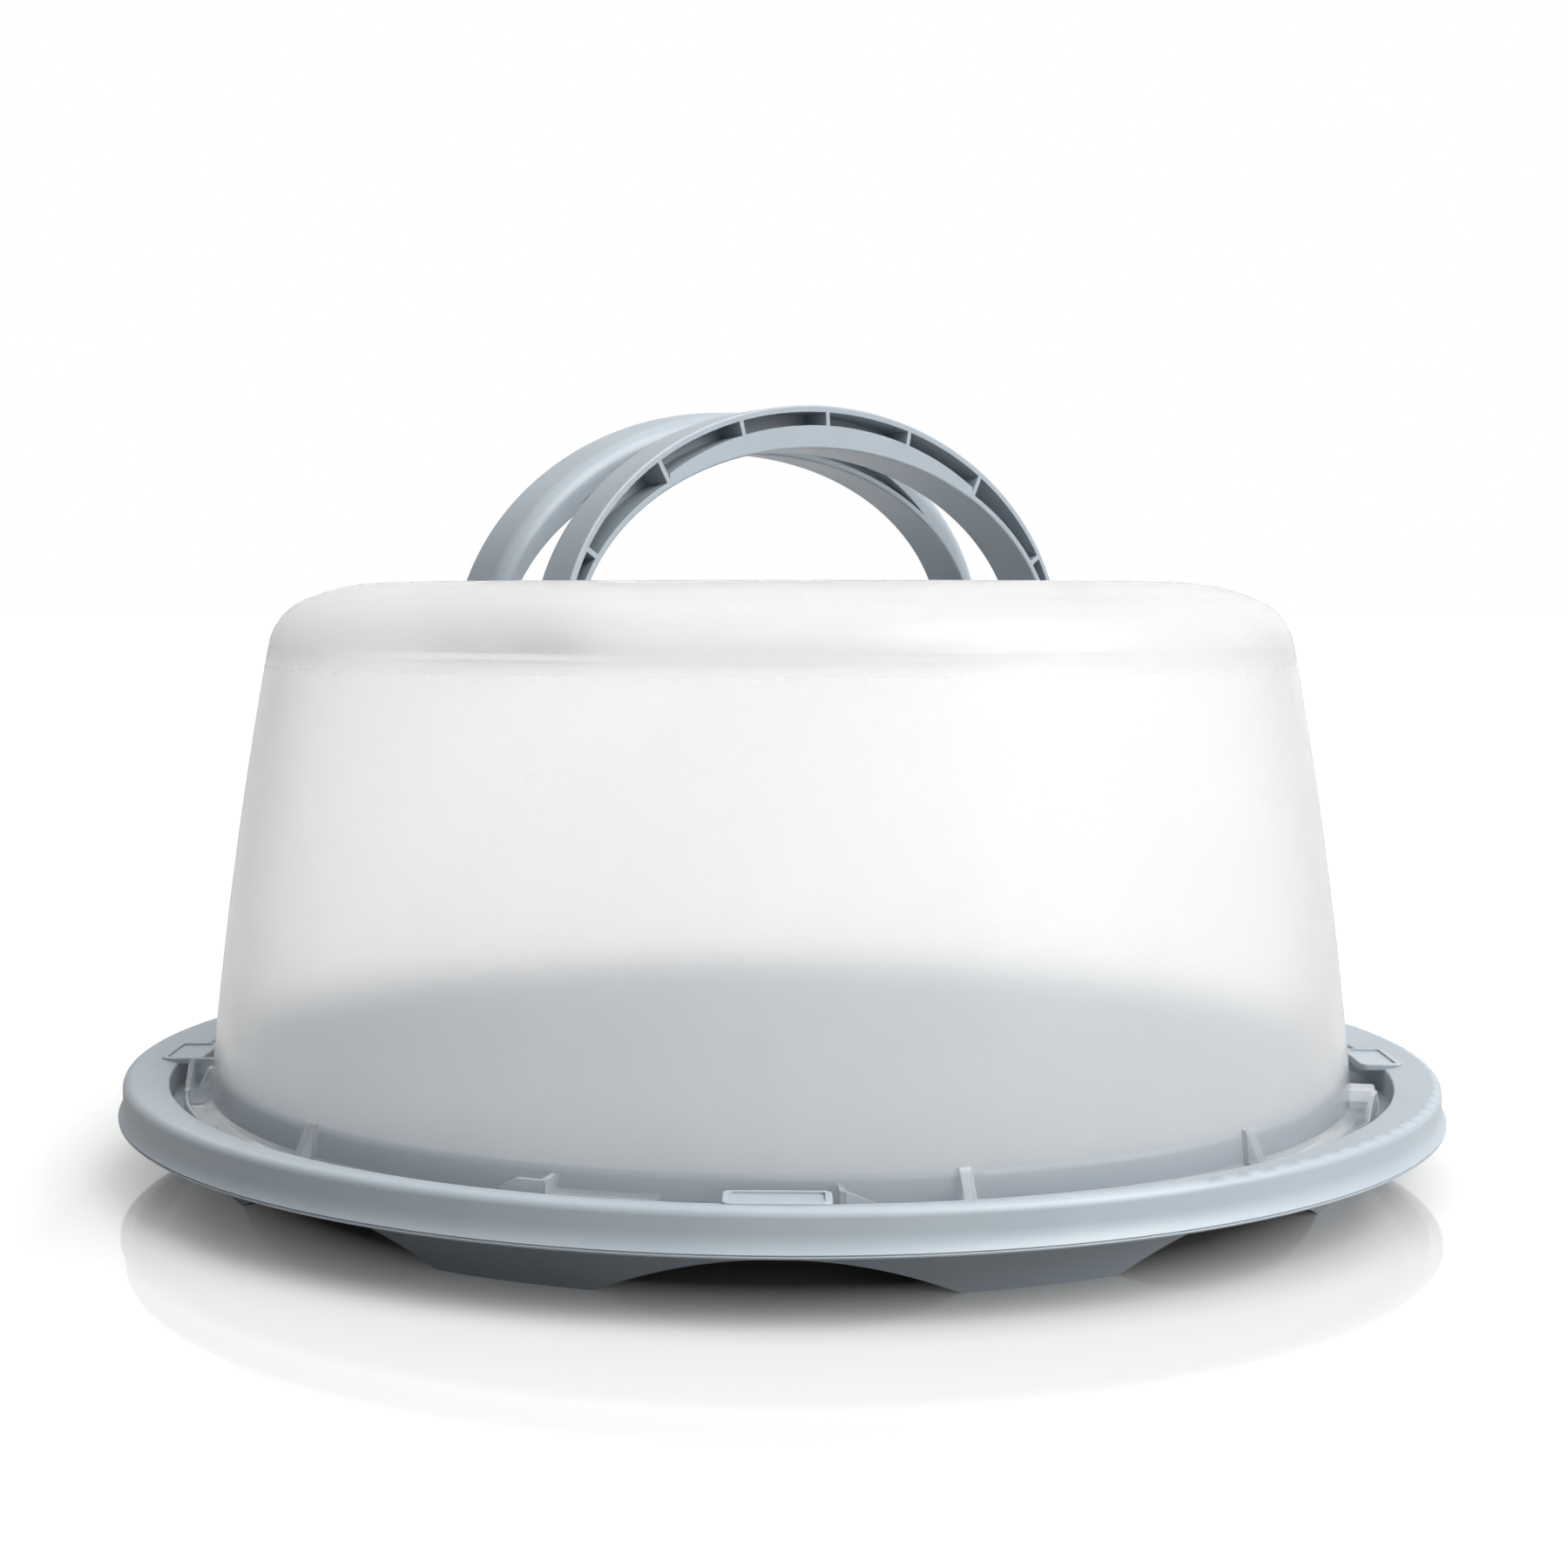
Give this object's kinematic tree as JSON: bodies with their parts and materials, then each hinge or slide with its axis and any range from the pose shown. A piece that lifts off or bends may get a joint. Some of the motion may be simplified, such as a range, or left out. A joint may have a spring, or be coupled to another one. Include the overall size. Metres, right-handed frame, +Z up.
{
  "type": "cake carrier",
  "caption": "Round cake carrier: footed tray with bayonet hooks, frosted domed cover with a recessed top, and a pair of ribbed arch handles that fold flat into it.",
  "frame": {"origin": "middle of the plane that the feet stand on, under the centre of the tray", "axes": "+Z up; -Y is the front, where one bayonet hook faces; +X to the right seen from the front"},
  "size_m": [0.35, 0.35, 0.1985],
  "materials": {
    "blue_grey_plastic": "satin",
    "frosted_plastic": "frosted, lets light through",
    "pin_plastic": "satin"
  },
  "bodies": {
    "tray": {"base_tray": "blue_grey_plastic"},
    "dome": {"dome_cover": "frosted_plastic", "front_handle_right_pin": "pin_plastic", "front_handle_left_pin": "pin_plastic", "rear_handle_right_pin": "pin_plastic", "rear_handle_left_pin": "pin_plastic"},
    "handle_front": {"front_handle": "blue_grey_plastic"},
    "handle_rear": {"rear_handle": "blue_grey_plastic"}
  },
  "joints": [
    {"name": "dome_lift", "type": "slide", "parent": "tray", "child": "dome", "axis": [0, 0, 1], "range_m": [0, 0.2]},
    {"name": "front_handle_fold", "type": "hinge", "parent": "dome", "child": "handle_front", "pos_m": [0.0099, -0.01025, 0.14203], "axis": [0.7193, 0.6947, 0], "range_deg": [0, 92.9]},
    {"name": "rear_handle_fold", "type": "hinge", "parent": "dome", "child": "handle_rear", "pos_m": [-0.0099, 0.01025, 0.14203], "axis": [-0.7193, -0.6947, 0], "range_deg": [0, 92.9]}
  ]
}
